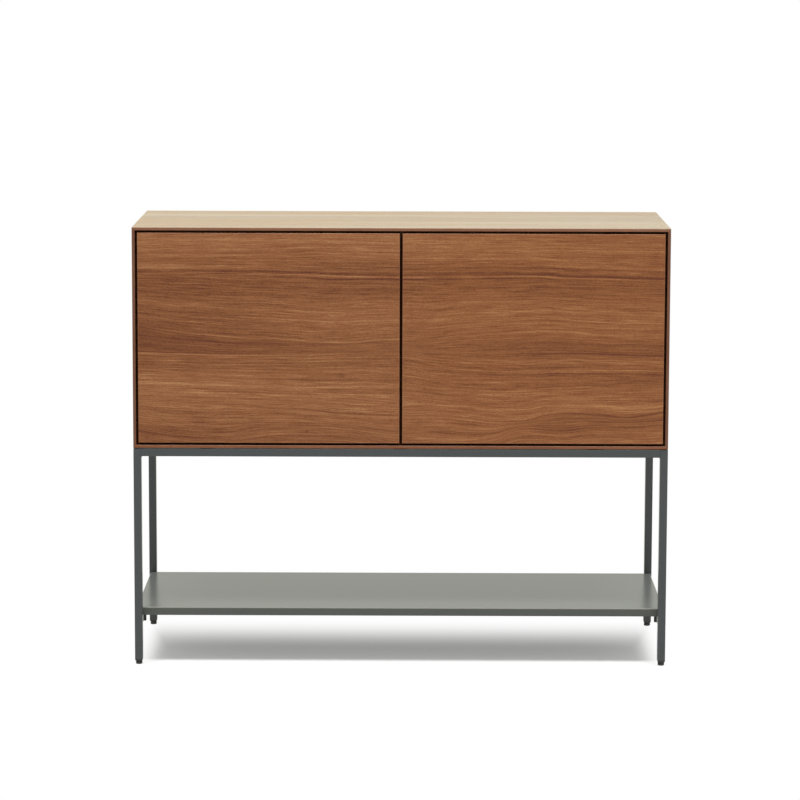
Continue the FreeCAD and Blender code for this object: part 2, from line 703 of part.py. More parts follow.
def tray_clips():
    """Plastic clips that grip the tray's return and hook under its side rails."""
    face = HALF_WIDTH - TUBE - CLIP_GAP
    inner = face - CLIP_WALL
    tip = face + CLIP_REACH
    return_edge = HALF_WIDTH - TRAY_SIDE_INSET - TRAY_RETURN - CLIP_FIT
    under_rail = TRAY_BOTTOM - TUBE - CLIP_FIT
    under_return = TRAY_BOTTOM - CLIP_FIT
    over_return = TRAY_BOTTOM + TRAY_SHEET + CLIP_FIT
    foot = under_rail - CLIP_HOOK
    outline = [
        (inner, foot), (tip - CLIP_LEAD_IN, foot), (tip, foot + CLIP_LEAD_IN), (tip, under_rail),
        (face, under_rail), (face, under_return), (return_edge, under_return), (return_edge, over_return),
        (tip, over_return), (tip, over_return + CLIP_JAW), (inner, over_return + CLIP_JAW),
    ]
    clips = []
    for y in CLIP_Y:
        clip = prism([V(x, y - CLIP_LENGTH / 2, z) for x, z in outline], Y_AXIS * CLIP_LENGTH)
        clips += [clip, mirrored(clip)]
    return clips


def leg_plug(x, y):
    """A plug whose tapered collar closes the leg's end, bored for the foot's stud."""
    wide = Part.makePolygon([V(sx * TUBE / 2, sy * TUBE / 2, LEG_BOTTOM) for sx, sy in SQUARE])
    narrow = Part.makePolygon([V(sx * PLUG_END / 2, sy * PLUG_END / 2, PLUG_BOTTOM) for sx, sy in SQUARE])
    collar = Part.makeLoft([narrow, wide], True, True)
    inside = TUBE - 2 * TUBE_WALL - PLUG_CLEARANCE
    spigot = middle_box((inside, inside, PLUG_SPIGOT), (0, 0, LEG_BOTTOM + PLUG_SPIGOT / 2))
    bore = rod(STUD_BORE_R, (0, 0, PLUG_BOTTOM), (0, 0, LEG_BOTTOM + PLUG_SPIGOT))
    return moved(joined(collar, spigot).cut(bore), (x, y, 0))


def foot(x, y):
    """A levelling foot: a round glide with eased edges, a neck, and a stud up into the plug."""
    glide = rod(GLIDE_R, (0, 0, 0), (0, 0, GLIDE))
    glide = glide.makeChamfer(GLIDE_EDGE, edges_at(glide, lambda b: b.ZLength < 0.1))
    neck = rod(NECK_R, (0, 0, GLIDE / 2), (0, 0, NECK_TOP))
    stud = rod(STUD_R, (0, 0, GLIDE / 2), (0, 0, STUD_TOP))
    return moved(joined(glide, neck, stud), (x, y, 0))


def save_cabinet():
    """The carcass, the inner shelves and their pegs."""
    save("top_panel", top_panel())
    save("bottom_panel", bottom_panel())
    save("back_panel", back_panel())
    save("centre_divider", centre_divider())
    for side in LEFT_OR_RIGHT:
        save(f"{side}_side_panel", side_panel(side))
        save(f"{side}_inner_shelf", on_side(inner_shelf(), side))
        save(f"{side}_shelf_pegs", *[on_side(peg, side) for peg in shelf_pegs()])
    save("door_bumpers", *door_bumpers())


def save_doors():
    """The doors with their cups, pins, screws and strike plates."""
    for side in LEFT_OR_RIGHT:
        save(f"{side}_door", on_side(left_door(), side))
        save(f"{side}_strike_plate", on_side(strike_plate(), side))
        save(f"{side}_hinge_cup_screws", *[on_side(screw, side) for screw in cup_screws()])
        pins = [on_side(moved(hinge_pin(), (0, 0, z)), side) for z in HINGE_Z.values()]
        save(f"{side}_hinge_pins", *pins)
        for level, z in HINGE_Z.items():
            save(f"{side}_{level}_hinge_cup", on_side(moved(hinge_cup(), (0, 0, z)), side))


def save_hinge_arms():
    """The hinge parts that stay on the cabinet."""
    plates = []
    for side in LEFT_OR_RIGHT:
        for level in HINGE_Z:
            plates.append(on_side(moved(hinge_plate(), hinge_place(level)), side))
            save(f"{side}_{level}_hinge_arm", on_side(moved(hinge_arm(), hinge_place(level)), side))
    save("hinge_plates", *plates)
    save("hinge_plate_screws", *plate_screws())
    save("hinge_arm_screws", *arm_screws())


def save_latches():
    """The push latches."""
    for side in LEFT_OR_RIGHT:
        save(f"{side}_latch_housing", on_side(latch_housing(), side))
        save(f"{side}_latch_plunger", on_side(latch_plunger(), side))
    save("latch_screws", *latch_screws())


def save_frame():
    """The tube frame, the low shelf and what fastens them."""
    for side, x_sign in LEFT_OR_RIGHT.items():
        save(f"{side}_top_rail", side_rail(x_sign * LEG_X, RAIL_Z))
        save(f"{side}_shelf_rail", shelf_rail(x_sign))
        for end, y_sign in FRONT_OR_REAR.items():
            save(f"{end}_{side}_leg", leg(x_sign, y_sign))
            save(f"{end}_{side}_leg_plug", leg_plug(x_sign * LEG_X, y_sign * LEG_Y))
            save(f"{end}_{side}_foot", foot(x_sign * LEG_X, y_sign * LEG_Y))
    for end, y_sign in FRONT_OR_REAR.items():
        save(f"{end}_top_rail", long_rail(y_sign * LEG_Y))
    save("frame_tabs", *frame_tabs())
    save("frame_spacers", *frame_spacers())
    save("cabinet_screws", *cabinet_screws())
    save("lower_shelf", lower_shelf())
    save("shelf_stiffener", shelf_stiffener())
    save("shelf_screws", *tray_screws())
    save("shelf_clips", *tray_clips())


os.makedirs("parts", exist_ok=True)
save_cabinet()
save_doors()
save_hinge_arms()
save_latches()
save_frame()
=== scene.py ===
import json
import math

import bmesh
import bpy
from mathutils import Matrix, Vector

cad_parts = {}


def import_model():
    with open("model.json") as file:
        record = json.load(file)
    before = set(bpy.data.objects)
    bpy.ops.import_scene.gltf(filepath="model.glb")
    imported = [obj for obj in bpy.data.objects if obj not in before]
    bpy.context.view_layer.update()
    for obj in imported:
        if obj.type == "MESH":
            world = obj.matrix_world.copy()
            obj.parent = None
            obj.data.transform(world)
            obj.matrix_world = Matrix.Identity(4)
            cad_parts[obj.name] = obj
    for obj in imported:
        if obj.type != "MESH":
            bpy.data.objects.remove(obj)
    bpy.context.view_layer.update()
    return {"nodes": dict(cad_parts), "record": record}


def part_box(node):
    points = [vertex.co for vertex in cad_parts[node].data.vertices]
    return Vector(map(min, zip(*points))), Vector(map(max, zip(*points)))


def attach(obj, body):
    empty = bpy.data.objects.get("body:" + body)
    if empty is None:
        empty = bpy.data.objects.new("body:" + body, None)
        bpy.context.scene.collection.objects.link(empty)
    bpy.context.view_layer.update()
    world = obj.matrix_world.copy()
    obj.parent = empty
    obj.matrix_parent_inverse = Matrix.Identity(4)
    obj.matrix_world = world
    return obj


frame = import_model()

# Looks of the walnut sideboard. Metres, +Z up, the doors face -Y, as in the frame.

nodes = frame["nodes"]

# Camera: the photograph's view, from a little above the top
IMAGE_WIDTH_PX = 800
FOCAL_PX = 3179.5
SENSOR_MM = 36.0
CAMERA_AT = (0.0060, -6.658, 1.503)
PITCH_DEG = 7.62
ROLL_DEG = -0.172
YAW_DEG = 0.07
SHIFT_Y = -0.05

# Light: one wide soft strip, and a white studio that lights less than it shows
KEY_ELEVATION_DEG = 73.5
KEY_DISTANCE = 6.0
KEY_TARGET = (0.0, 0.0, 0.1)
KEY_SIZE = (6.0, 1.3)
KEY_WATTS = 254
AMBIENT_FRONT = 0.35
AMBIENT_BACK = 0.75

# Floor: matt white with a lifted shadow, plain white away from the object. A pair is where that white
# starts and where it is full.
FLOOR_REACH = 30.0
FLOOR_WHITE = (0.95, 0.95, 0.94)
SHADOW_LIFT = 0.22
LIFT_TINT = (1.0, 1.0, 0.965)
WHITE_FROM = (0.9, 1.8)
WHITE_BEHIND = (-0.045, 0.262)
WHITE_BESIDE = (0.491, 0.561)
MIRRORED_WHITE = (0.99, 1.0, 0.88)

# Sizes read from the frame
DOOR_LOW, DOOR_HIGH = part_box("left_door")
RIGHT_DOOR_LOW, RIGHT_DOOR_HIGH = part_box("right_door")
TOP_LOW, TOP_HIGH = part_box("top_panel")
SHELF_LOW, SHELF_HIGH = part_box("lower_shelf")

# Axes by their numbers
X, Y, Z = range(3)

# Plain values
MM_PER_METRE = 1000.0
WHITE = (1.0, 1.0, 1.0, 1.0)

# Noise: how much detail it has, and the range that most of its values lie in
SMOOTH = 1.0
USUAL = 2.0
RICH = 3.0
NOISE_RANGE = (0.3, 0.7)

# Walnut tones in display colours, from the darkest line to the lightest
WALNUT_TONES = (
    (0.00, (98, 54, 29)), (0.25, (122, 75, 47)), (0.50, (142, 91, 60)), (0.70, (156, 104, 70)),
    (0.85, (168, 118, 80)), (1.00, (181, 134, 92)),
)

# The lacquer mirrors a little white over every wood colour, so the wood itself is that much darker
LACQUER_HAZE = 0.022
LACQUER_CLEARNESS = 0.96
DARKEST_WOOD = 0.004
LACQUER_IOR = 1.42
LACQUER_ROUGHNESS = (0.26, 0.34)

# Streaks of the grain: stretch along it, fineness across it (both per metre) and weight
STREAKS = (
    (1.4, 45.0, 0.26), (1.6, 120.0, 0.26), (2.0, 290.0, 0.38), (4.0, 560.0, 0.70), (18.0, 950.0, 1.30),
    (260.0, 460.0, 0.52), (110.0, 190.0, 0.12),
)
PORES = (70.0, 1100.0, -0.34)
PORE_RANGE = (0.63, 0.75)
PORE_DEPTH = 0.0001
PORE_BUMP = 0.4

# Plain panels: noises that bend the grain (stretch, fineness, detail, distance), and their broad zones
PANEL_BENDS = ((1.3, 3.5, SMOOTH, 0.055), (5.0, 16.0, USUAL, 0.008))
PANEL_ZONES = (0.35, 14.0)
ZONE_RANGE = (0.32, 0.68)
ZONE_SWING = 0.22
PLAIN_TONE = 0.5
BACK_TINT = (0.85, 0.82, 0.80)

# The top: its veneer painted lighter for part of its glare, its streaky gloss and its lacquer's pale glow
# seen along it
TOP_CONTRAST = 1.6
TOP_PAINTED_GLARE = 0.46
TOP_STREAKS = ((1.1, 42.0), (0.8, 18.0))
TOP_STREAK_RANGE = (-0.20, 0.20)
TOP_ROUGHNESS = (0.38, 0.18)
TOP_IOR = 1.65
TOP_HAZE = (1.0, 0.97, 0.68)
TOP_HAZE_WEIGHT = 1.0
TOP_HAZE_ROUGHNESS = 0.22

# The carcass: a lipping of its own colour along the front edges, and behind it painted shade: the rebate is
# painted nearly black, with a painted lit strip on the right side. From here on, a pair whose name says
# depth, inside, behind, rim, shoulder or below is distances past a face: where a mask starts and where it
# is full.
LIPPING_GRAIN = (14.0, 900.0, 14.0)
TOP_LIPPING = ((112, 68, 46), (148, 98, 70))
SIDE_LIPPING = ((102, 66, 52), (134, 94, 74))
BEHIND_LIPPING = (0.0008, 0.0012)
REBATE_INSIDE = (-0.0055, -0.0065)
REBATE_SHOULDER = (0.0257, 0.0254)
# Painted shade for the gaps: a dark tint, and little gloss where it lies
GAP_SHADE_TINT = (0.33, 0.25, 0.14)
WOOD_SPECULAR = 0.5
GAP_SHADE_SPECULAR = 0.05
# Painted light: a lit strip on the inside face of the right lip
PAINTED_LIT_STRIP = (100, 62, 44)
LIT_STRIP_INSIDE = (-0.0070, -0.0066)
LIT_STRIP_DEPTH = (0.013, 0.010)
DIVIDER_SHADE_DEPTH = (0.034, 0.030)

# The doors' rims: a painted highlight on the front arris, and painted shade on the edges behind it
# Painted highlight on the front arris
ARRIS_HIGHLIGHT_COLOUR = (176, 128, 102)
ARRIS_HIGHLIGHT_STRENGTH = 0.4
ARRIS_HIGHLIGHT_RIM = (-0.0016, -0.0006)
ARRIS_HIGHLIGHT_DEPTH = (0.0009, 0.0004)
# Painted shade on the doors' edges behind the arris
EDGE_SHADE_RIM = (-0.0003, -0.0001)
EDGE_SHADE_DEPTH = (0.0006, 0.0010)

# The right door's veneer is a little yellower. The tint comes in between two places across.
RIGHT_DOOR_TINT = (1.0, 0.965, 0.86)
RIGHT_DOOR_TINT_ACROSS = (-0.10, 0.20)

# The doors' grain, in millimetres from the middle and above the doors' foot. A guide is a line that
# the grain follows: its height at the left edge, then its rise at points along the width, all of which
# lie within the span.
GRAIN_WIDTH = 1080.0
GRAIN_HEIGHT = 433.0
GUIDE_SPAN = 100.0
GUIDES = (
    (433, ((-540, 0), (0, 1), (540, -3))),
    (400, ((-540, 0), (-340, -1), (-160, 3), (0, 0), (250, 1), (540, -5))),
    (357, ((-540, 1), (-453, 1), (-367, 0), (-309, -1), (-247, -2), (-196, -3), (-144, -5), (-41, -6.5),
           (31, -7.5), (103, -6), (206, -5), (298, -6), (330, -8), (405, -10), (453, -11), (540, -14))),
    (243, ((-540, 0), (-511, -4), (-450, -14), (-379, -21), (-325, -25), (-272, -26), (-218, -30),
           (-180, -33), (-111, -34), (-58, -30), (0, -28), (48, -29), (112, -22), (166, -18),
           (244, -13), (298, -11), (369, -15), (423, -19), (540, -20))),
    (183, ((-540, 0), (-450, -1), (-343, -3), (-200, -2), (-111, 1), (-8, 3), (66, -6), (173, -13),
           (244, -14), (352, -12), (540, -15))),
    (125, ((-540, 0), (-433, -3), (-308, -6), (-236, -9), (0, -12), (100, -22), (209, -26), (298, -23),
           (387, -19), (540, -18))),
    (80, ((-540, 0), (-415, -3), (-308, -6), (-200, -11), (-129, -17), (-58, -22), (0, -23), (66, -22),
          (137, -27), (194, -34), (244, -34), (298, -23), (352, -17), (405, -20), (459, -24), (505, -20),
          (540, -14))),
    (33, ((-540, 0), (-450, -12), (-379, -16), (-308, -10), (-254, -6), (-129, -6), (-58, -15), (0, -22),
          (66, -23), (137, -25), (191, -19), (223, -7), (262, 0), (334, -3), (389, 3), (494, 5), (540, 7))),
)

# How light the veneer is along the grain's height, at the left edge, the middle and the right edge
LEFT_TONE = ((0, 0.38), (26, 0.42), (56, 0.55), (80, 0.62), (125, 0.66), (145, 0.58), (160, 0.48),
             (179, 0.48), (188, 0.32), (225, 0.29), (243, 0.34), (284, 0.44), (310, 0.36), (354, 0.33),
             (359, 0.48), (371, 0.50), (388, 0.54), (402, 0.64), (433, 0.66))
MIDDLE_TONE = ((0, 0.50), (33, 0.54), (80, 0.60), (125, 0.60), (160, 0.48), (183, 0.50), (205, 0.46),
               (230, 0.47), (250, 0.58), (284, 0.62), (320, 0.44), (345, 0.40), (360, 0.48), (388, 0.56),
               (402, 0.66), (433, 0.62))
RIGHT_TONE = ((0, 0.64), (20, 0.58), (33, 0.52), (60, 0.44), (80, 0.52), (96, 0.68), (112, 0.52),
              (125, 0.52), (150, 0.44), (170, 0.40), (183, 0.50), (195, 0.42), (218, 0.38), (243, 0.58),
              (284, 0.62), (320, 0.44), (345, 0.42), (357, 0.40), (372, 0.50), (402, 0.60), (433, 0.58))

# Single lines of the grain: height at the left edge, half width, the places across between which it
# fades in and out, and how much lighter (or darker, below zero) it is. Places past the doors' edges
# stand for a line that runs on.
GRAIN_LINES = (
    (364.5, 6.4, (-900, -800, -470, -330), 0.15),
    (363, 2.8, (-480, -380, -300, -200), 0.05),
    (369, 1.4, (-500, -430, -330, -240), -0.18),
    (356, 2.6, (-470, -330, 800, 900), -0.26),
    (367, 1.4, (-170, -40, 330, 500), -0.20),
    (362, 1.6, (-60, 20, 400, 520), 0.10),
    (351.5, 1.4, (-370, -300, 420, 560), 0.24),
    (347.5, 1.6, (-370, -300, 420, 560), -0.20),
    (330, 1.2, (-200, -60, 260, 420), -0.12),
    (277, 1.0, (-300, -220, -20, 60), 0.16),
    (243, 1.2, (-520, -380, -20, 60), 0.26),
    (243, 1.6, (60, 150, 400, 500), 0.20),
    (233, 1.6, (-240, -160, -60, 0), -0.14),
    (226, 3.4, (-900, -800, -330, -150), -0.08),
    (206, 4.2, (-900, -800, -350, -200), -0.08),
    (185.5, 1.5, (-900, -800, -290, -40), 0.40),
    (190.5, 1.6, (-900, -800, -330, -200), -0.10),
    (185.5, 1.4, (40, 150, 800, 900), 0.17),
    (200, 1.4, (240, 380, 800, 900), -0.28),
    (167, 1.3, (20, 250, 800, 900), 0.28),
    (160, 1.6, (60, 250, 800, 900), -0.16),
    (168, 1.6, (-900, -800, -400, -320), -0.12),
    (171, 3.0, (-60, 60, 300, 420), -0.10),
    (125, 2.6, (-900, -800, -50, 60), 0.20),
    (127, 3.4, (60, 130, 300, 370), 0.15),
    (101.5, 2.6, (-30, 30, 260, 330), 0.15),
    (107, 1.2, (-520, -440, -200, -80), 0.12),
    (96, 4.0, (280, 350, 450, 530), 0.08),
    (80, 1.9, (-220, -120, -20, 20), -0.22),
    (80, 1.6, (0, 60, 240, 320), -0.16),
    (79, 3.2, (310, 370, 500, 560), -0.24),
    (63, 1.6, (-160, -90, -30, 20), -0.20),
    (52, 3.0, (360, 430, 560, 640), -0.24),
    (46, 1.5, (-150, -90, -20, 20), -0.16),
    (33, 1.5, (0, 60, 190, 240), 0.16),
    (23, 1.8, (-30, 30, 180, 260), -0.16),
    (38, 1.8, (240, 300, 400, 470), -0.16),
    (24, 2.4, (-900, -800, -420, -300), -0.14),
    (66, 1.5, (20, 120, 330, 420), -0.20),
    (58, 1.3, (60, 140, 420, 520), 0.16),
    (44, 1.5, (30, 120, 300, 380), -0.22),
    (30, 1.5, (230, 300, 480, 560), -0.22),
    (16, 1.5, (60, 140, 360, 430), -0.20),
    (9, 1.3, (-60, 20, 200, 280), 0.16),
    (70, 1.5, (-900, -800, -500, -360), -0.12),
    (112, 1.5, (-420, -340, -260, -200), -0.14),
    (112, 3.0, (-260, -180, -30, 30), 0.14),
    (139, 1.6, (-400, -340, -120, -20), -0.10),
    (151, 1.3, (-500, -420, -260, -160), -0.12),
)

# How soft a line's edge is inside and outside its half width, and how much of the width stays full
LINE_SOFT_INSIDE = 1.3
LINE_SOFT_OUTSIDE = 0.9
LINE_CORE = 0.3

# Small dark flecks: place across, height above the doors' foot, half length, half height. They are
# darkest in the middle and fade out over a range of their half size.
FLECKS = ((252, 200, 5.0, 1.8), (240, 182, 4.0, 1.6), (505, 282, 4.0, 2.2), (312, 278, 6.0, 2.0),
          (-193, 24, 6.0, 2.2), (-372, 203, 5.0, 1.3))
FLECK_TONE = -0.26
FLECK_RANGE = (0.3, 1.2)

# How the grain wanders off its guides (noise scales per metre), and how the tones drift along it (noise
# scales per millimetre), both with their distance
WANDER_SCALES = (9.0, 34.0)
WANDER = 3.2
DRIFT_SCALES = (0.003, 0.012)
DRIFT = 420.0

# Where the left edge's tones turn into the middle's, and the middle's into the right edge's
LEFT_TO_MIDDLE = (-480, -90)
MIDDLE_TO_RIGHT = (0, 380)

# Powder coat: the frame's, and the shelf's, which mirrors less and glows more when seen along it
COAT_CLOUD_SCALE = 9.0
COAT_GRIT_SCALE = 900.0
COAT_GRIT_DEPTH = 0.00002
COAT_BUMP = 0.25
COAT_MOTTLE = 0.08
COAT_IOR = 1.45
FRAME_COLOUR = (0.056, 0.063, 0.067)
FRAME_ROUGHNESS = (0.24, 0.32)
SHELF_COLOUR = (0.096, 0.103, 0.093)
SHELF_ROUGHNESS = (0.20, 0.26)
SHELF_SPECULAR = 0.24
SHELF_HAZE = (0.92, 1.0, 0.96)
SHELF_HAZE_WEIGHT = 0.64
SHELF_HAZE_ROUGHNESS = 0.30
# A painted highlight along the shelf's front bend
BEND_HIGHLIGHT_COLOUR = (0.30, 0.30, 0.27)
BEND_HIGHLIGHT_BELOW_TOP = (-0.0024, -0.0015)
BEND_HIGHLIGHT_DEPTH = (0.0030, 0.0015)

# Nickel-plated steel
STEEL_COLOURS = ((0.56, 0.55, 0.53), (0.68, 0.67, 0.65))
STEEL_CLOUD_SCALE = 60.0
STEEL_BRUSHING = (900.0, 60.0, 900.0)
STEEL_ROUGHNESS = (0.22, 0.38)

# Moulded plastic
PLASTIC_CLOUD_SCALE = 40.0
PLASTIC_GRAIN_SCALE = 1400.0
PLASTIC_GRAIN_DEPTH = 0.00003
PLASTIC_BUMP = 0.3
PLASTIC_MOTTLE = 0.12
PLASTIC_ROUGHNESS_SWING = 0.05
BLACK_COLOUR = (0.022, 0.022, 0.023)
BLACK_ROUGHNESS = 0.5
GREY_COLOUR = (0.34, 0.34, 0.33)
GREY_ROUGHNESS = 0.4

# Translucent rubber
RUBBER_COLOURS = ((0.62, 0.62, 0.60), (0.80, 0.80, 0.78))
RUBBER_CLOUD_SCALE = 300.0
RUBBER_ROUGHNESS = (0.35, 0.45)
RUBBER_CLEARNESS = 0.35

# Screw heads, and in each one a dark cross, painted shade that stands in for its recess
HEAD_RADIUS = 0.0034
FLAT_WITHIN = 0.00001
RECESS_ARM = 0.0019
RECESS_HALF_WIDTH = 0.0005
RECESS_TIP = 0.0003
RECESS_DEPTH = 0.0003
RECESS_PROUD = 0.00003
RECESS_SHADE_COLOUR = (0.035, 0.034, 0.033)
RECESS_ROUGHNESS = 0.6


# Node trees

class Tree:
    """Adds shader nodes to a tree and links them. An input is a value or another node's output."""

    def __init__(self, tree):
        self.tree = tree

    def feed(self, node, inputs):
        """Sets some inputs of a node, by name or number."""
        for key, value in inputs.items():
            socket = node.inputs[key]
            if isinstance(value, bpy.types.NodeSocket):
                self.tree.links.new(value, socket)
            else:
                socket.default_value = value

    def add(self, kind, inputs=None, **settings):
        """A new node with its settings and inputs."""
        node = self.tree.nodes.new(kind)
        for name, value in settings.items():
            setattr(node, name, value)
        self.feed(node, inputs or {})
        return node

    def place(self):
        """Object coordinates, which are the frame's metres."""
        return self.add("ShaderNodeTexCoord").outputs["Object"]

    def math(self, operation, a, b=0.0, c=0.0):
        return self.add("ShaderNodeMath", {0: a, 1: b, 2: c}, operation=operation).outputs[0]

    def plus(self, a, b):
        return self.math("ADD", a, b)

    def minus(self, a, b):
        return self.math("SUBTRACT", a, b)

    def times(self, a, b):
        return self.math("MULTIPLY", a, b)

    def absolute(self, a):
        return self.math("ABSOLUTE", a)

    def greater(self, a, b):
        return self.math("MAXIMUM", a, b)

    def root_of_squares(self, a, b):
        return self.math("SQRT", self.plus(self.times(a, a), self.times(b, b)))

    def vector(self, x, y, z):
        return self.add("ShaderNodeCombineXYZ", {0: x, 1: y, 2: z}).outputs[0]

    def split(self, vector):
        node = self.add("ShaderNodeSeparateXYZ", {0: vector})
        return node.outputs[0], node.outputs[1], node.outputs[2]

    def noise(self, vector, scale=1.0, detail=USUAL):
        inputs = {"Vector": vector, "Scale": scale, "Detail": detail}
        return self.add("ShaderNodeTexNoise", inputs).outputs["Fac"]

    def drawn_noise(self, along, across, depth, stretch, fineness, detail=USUAL):
        """Noise with a scale of its own along the grain and across it."""
        vector = self.vector(self.times(along, stretch), self.times(across, fineness), depth)
        return self.noise(vector, detail=detail)

    def sway(self, value, noise, distance):
        """A value moved to both sides by a noise."""
        return self.math("MULTIPLY_ADD", self.minus(noise, 0.5), distance, value)

    def span(self, value, low, high, to_low=0.0, to_high=1.0, smooth=False):
        """A value taken from one range to another, held at the ends."""
        inputs = {"Value": value, "From Min": low, "From Max": high, "To Min": to_low, "To Max": to_high}
        kind = "SMOOTHSTEP" if smooth else "LINEAR"
        return self.add("ShaderNodeMapRange", inputs, interpolation_type=kind).outputs[0]

    def past(self, value, face, distances):
        """A mask that rises from 0 to 1 between two distances past a face."""
        start, full = distances
        return self.span(value, face + start, face + full)

    def mix(self, factor, a, b, blend="MIX"):
        """A colour between two others, which are the node's inputs 6 and 7."""
        inputs = {0: factor, 6: a, 7: b}
        return self.add("ShaderNodeMix", inputs, data_type="RGBA", blend_type=blend).outputs[2]

    def tinted(self, colour, tint):
        return self.mix(1.0, colour, tint, "MULTIPLY")

    def blend(self, factor, a, b):
        """A number between two others."""
        return self.math("MULTIPLY_ADD", factor, self.minus(b, a), a)

    def ramp(self, value, stops):
        """A colour ramp; a stop is a place from 0 to 1 and a colour."""
        node = self.add("ShaderNodeValToRGB", {0: value})
        elements = node.color_ramp.elements
        while len(elements) < len(stops):
            elements.new(0.5)
        for element, (place, colour) in zip(elements, stops):
            element.position = place
            element.color = opaque(colour)
        return node.outputs[0]

    def curve(self, value, points):
        """A smooth curve through points whose two values lie from 0 to 1."""
        node = self.add("ShaderNodeFloatCurve", {"Value": value})
        curve = node.mapping.curves[0]
        curve.points[0].location = points[0]
        curve.points[1].location = points[-1]
        for point in points[1:-1]:
            curve.points.new(*point)
        node.mapping.update()
        return node.outputs[0]


class Surface(Tree):
    """A new material with one principled surface."""

    def __init__(self, name):
        self.material = bpy.data.materials.new(name)
        self.material.use_nodes = True
        super().__init__(self.material.node_tree)
        self.shader = self.tree.nodes["Principled BSDF"]

    def set(self, name, value):
        """Sets one input of the surface."""
        self.feed(self.shader, {name: value})

    def colour_so_far(self):
        """The output that feeds the surface's colour."""
        return self.shader.inputs["Base Color"].links[0].from_socket

    def haze(self, weight, roughness, colour):
        """A pale glow where the surface is seen along itself."""
        self.set("Sheen Weight", weight)
        self.set("Sheen Roughness", roughness)
        self.set("Sheen Tint", opaque(colour))

    def bump(self, height, distance, strength):
        inputs = {"Height": height, "Distance": distance, "Strength": strength}
        self.set("Normal", self.add("ShaderNodeBump", inputs).outputs[0])

    def mottle(self, colour, share, noise):
        """Colours the surface, darker and lighter by a share where a noise says."""
        dark = opaque(channel * (1 - share) for channel in colour)
        light = opaque(channel * (1 + share) for channel in colour)
        self.set("Base Color", self.mix(noise, dark, light))


def opaque(colour):
    return (*colour, 1.0)


def srgb(red, green, blue):
    """A display colour from 0 to 255 as a linear one."""
    values = [channel / 255 for channel in (red, green, blue)]
    return tuple(v / 12.92 if v <= 0.04045 else ((v + 0.055) / 1.055) ** 2.4 for v in values)


def under_lacquer(colour):
    """The wood's own colour where the lacquered one is to look like a display colour."""
    return tuple(max(channel - LACQUER_HAZE, DARKEST_WOOD) / LACQUER_CLEARNESS for channel in srgb(*colour))


def dress(surface, *names):
    """Gives CAD nodes a surface's material."""
    for name in names:
        mesh = nodes[name].data
        mesh.materials.clear()
        mesh.materials.append(surface.material)


def add_object(name, data):
    thing = bpy.data.objects.new(name, data)
    bpy.context.scene.collection.objects.link(thing)
    return thing


# Walnut

def finish_wood(wood, tone, along, flow, depth, contrast=1.0):
    """Adds fine streaks and pores to a tone, lacquers the surface and returns the wood's colour."""
    for stretch, fineness, weight in STREAKS:
        streaks = wood.drawn_noise(along, flow, depth, stretch, fineness)
        tone = wood.sway(tone, streaks, weight * contrast)
    stretch, fineness, weight = PORES
    dashes = wood.drawn_noise(along, flow, depth, stretch, fineness, SMOOTH)
    pores = wood.span(dashes, *PORE_RANGE)
    tone = wood.math("MULTIPLY_ADD", pores, weight * contrast, tone)
    wood.set("Roughness", wood.span(dashes, *NOISE_RANGE, *LACQUER_ROUGHNESS))
    wood.set("IOR", LACQUER_IOR)
    wood.bump(wood.minus(0.0, pores), PORE_DEPTH, PORE_BUMP)
    return wood.ramp(tone, [(place, under_lacquer(shade)) for place, shade in WALNUT_TONES])


def walnut(name, along, across, seed, contrast=1.0, lighter=0.0, tint=None, banded=False):
    """
    Lacquered walnut veneer with its grain along one axis, taken from another length of it for each seed.
    A banded panel has lines on its edges too.
    """
    wood = Surface(name)
    parts = dict(zip("xyz", wood.split(wood.place())))
    depth = parts[({"x", "y", "z"} - {along, across}).pop()]
    length = wood.plus(parts[along], seed)
    width = wood.plus(parts[across], depth) if banded else parts[across]
    flow = width
    for stretch, fineness, detail, distance in PANEL_BENDS:
        bends = wood.drawn_noise(length, width, depth, stretch, fineness, detail)
        flow = wood.sway(flow, bends, distance)
    zones = wood.drawn_noise(length, flow, depth, *PANEL_ZONES, RICH)
    middle = PLAIN_TONE + lighter
    swing = ZONE_SWING * contrast
    tone = wood.span(zones, *ZONE_RANGE, middle - swing, middle + swing)
    colour = finish_wood(wood, tone, length, flow, depth, contrast)
    wood.set("Base Color", wood.tinted(colour, opaque(tint)) if tint else colour)
    return wood


def painted_gap_shade(wood, colour):
    """Painted shade over a wood colour: a dark tint through which the grain shows."""
    return wood.tinted(colour, opaque(GAP_SHADE_TINT))


def paint_gap_shade(wood, where, colour, dark):
    """Paints shade: turns a wood colour into a dark matt one where the mask says."""
    wood.set("Base Color", wood.mix(where, colour, dark))
    wood.set("Specular IOR Level", wood.span(where, 0.0, 1.0, WOOD_SPECULAR, GAP_SHADE_SPECULAR))


